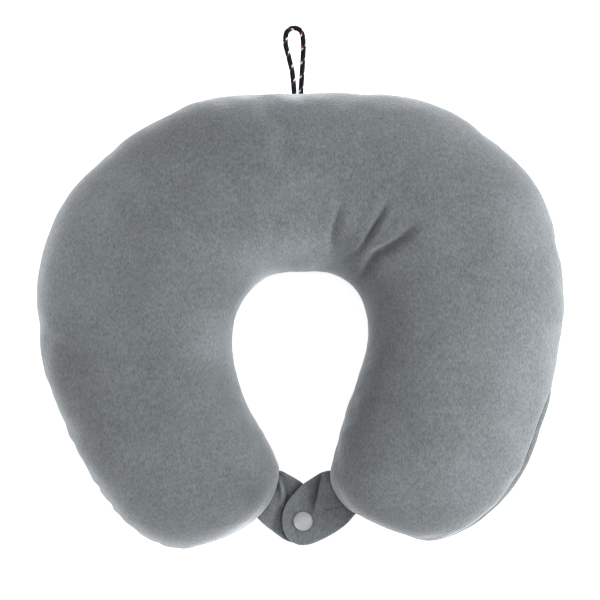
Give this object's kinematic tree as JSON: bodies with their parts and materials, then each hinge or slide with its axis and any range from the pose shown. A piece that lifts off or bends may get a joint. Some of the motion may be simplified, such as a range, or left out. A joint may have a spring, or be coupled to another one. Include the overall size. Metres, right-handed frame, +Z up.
{
  "type": "u shaped neck pillow",
  "caption": "U-shaped plush travel neck pillow with a foam core, a zipped cover, two closing tabs joined by a snap, and a cord hanging loop.",
  "frame": {"origin": "centre of the pillow's footprint, on the surface it lies on", "axes": "+Z up through the cushion's thickness, +Y towards the back seam with the hanging loop, +X towards the wearer's left arm of the U when seen from above with the loop at the top"},
  "size_m": [0.3394, 0.3376, 0.093],
  "materials": {
    "plush_cover": "short-pile grey plush",
    "liner_cloth": "thin off-white knit",
    "foam": "open-cell memory foam, cream",
    "zip_tape": "woven grey tape",
    "zip_coil": "grey nylon coil",
    "zip_metal": "grey lacquered die-cast",
    "snap_plastic": "pale grey satin",
    "cord": "black braided cord with light and dark red flecks"
  },
  "bodies": {
    "pillow": {"cover_top_panel": "plush_cover", "cover_bottom_panel": "plush_cover", "liner_top_panel": "liner_cloth", "liner_bottom_panel": "liner_cloth", "foam_core": "foam", "zip_tape_upper": "zip_tape", "zip_tape_lower": "zip_tape", "zip_coil_upper": "zip_coil", "zip_coil_lower": "zip_coil", "zip_top_stop_upper": "zip_metal", "zip_top_stop_lower": "zip_metal", "zip_bottom_stop": "zip_metal"},
    "cap_tab": {"cap_tab_top_ply": "plush_cover", "cap_tab_bottom_ply": "plush_cover", "snap_cap": "snap_plastic", "snap_socket": "snap_plastic"},
    "stud_tab": {"stud_tab_top_ply": "plush_cover", "stud_tab_bottom_ply": "plush_cover", "snap_stud": "snap_plastic", "snap_back_cap": "snap_plastic"},
    "zip_slider": {"zip_slider": "zip_metal"},
    "zip_pull": {"zip_pull": "zip_metal"},
    "hanging_loop": {"hanging_loop": "cord"}
  },
  "joints": [
    {"name": "cap_tab_lift", "type": "hinge", "parent": "pillow", "child": "cap_tab", "pos_m": [0.0202, -0.1163, 0.04985], "axis": [-0.4809, 0.8768, 0], "range_deg": [0, 85]},
    {"name": "stud_tab_drop", "type": "hinge", "parent": "pillow", "child": "stud_tab", "pos_m": [-0.0142, -0.1165, 0.04215], "axis": [0.4552, 0.8904, 0], "range_deg": [0, 85]},
    {"name": "zip_slider_travel", "type": "hinge", "parent": "pillow", "child": "zip_slider", "pos_m": [0.0576, 0.02, 0.03], "axis": [0, 0, 1], "range_deg": [0, 24]},
    {"name": "zip_pull_flip", "type": "hinge", "parent": "zip_slider", "child": "zip_pull", "pos_m": [-0.16296, -0.03214, 0.02993], "axis": [-0.2519, -0.0595, 0.9659], "range_deg": [0, 170]},
    {"name": "loop_swing", "type": "hinge", "parent": "pillow", "child": "hanging_loop", "pos_m": [-0.0019, 0.1496, 0.046], "axis": [1, 0, 0], "range_deg": [-75, 75], "stiffness_Nm_per_rad": 0.002}
  ]
}
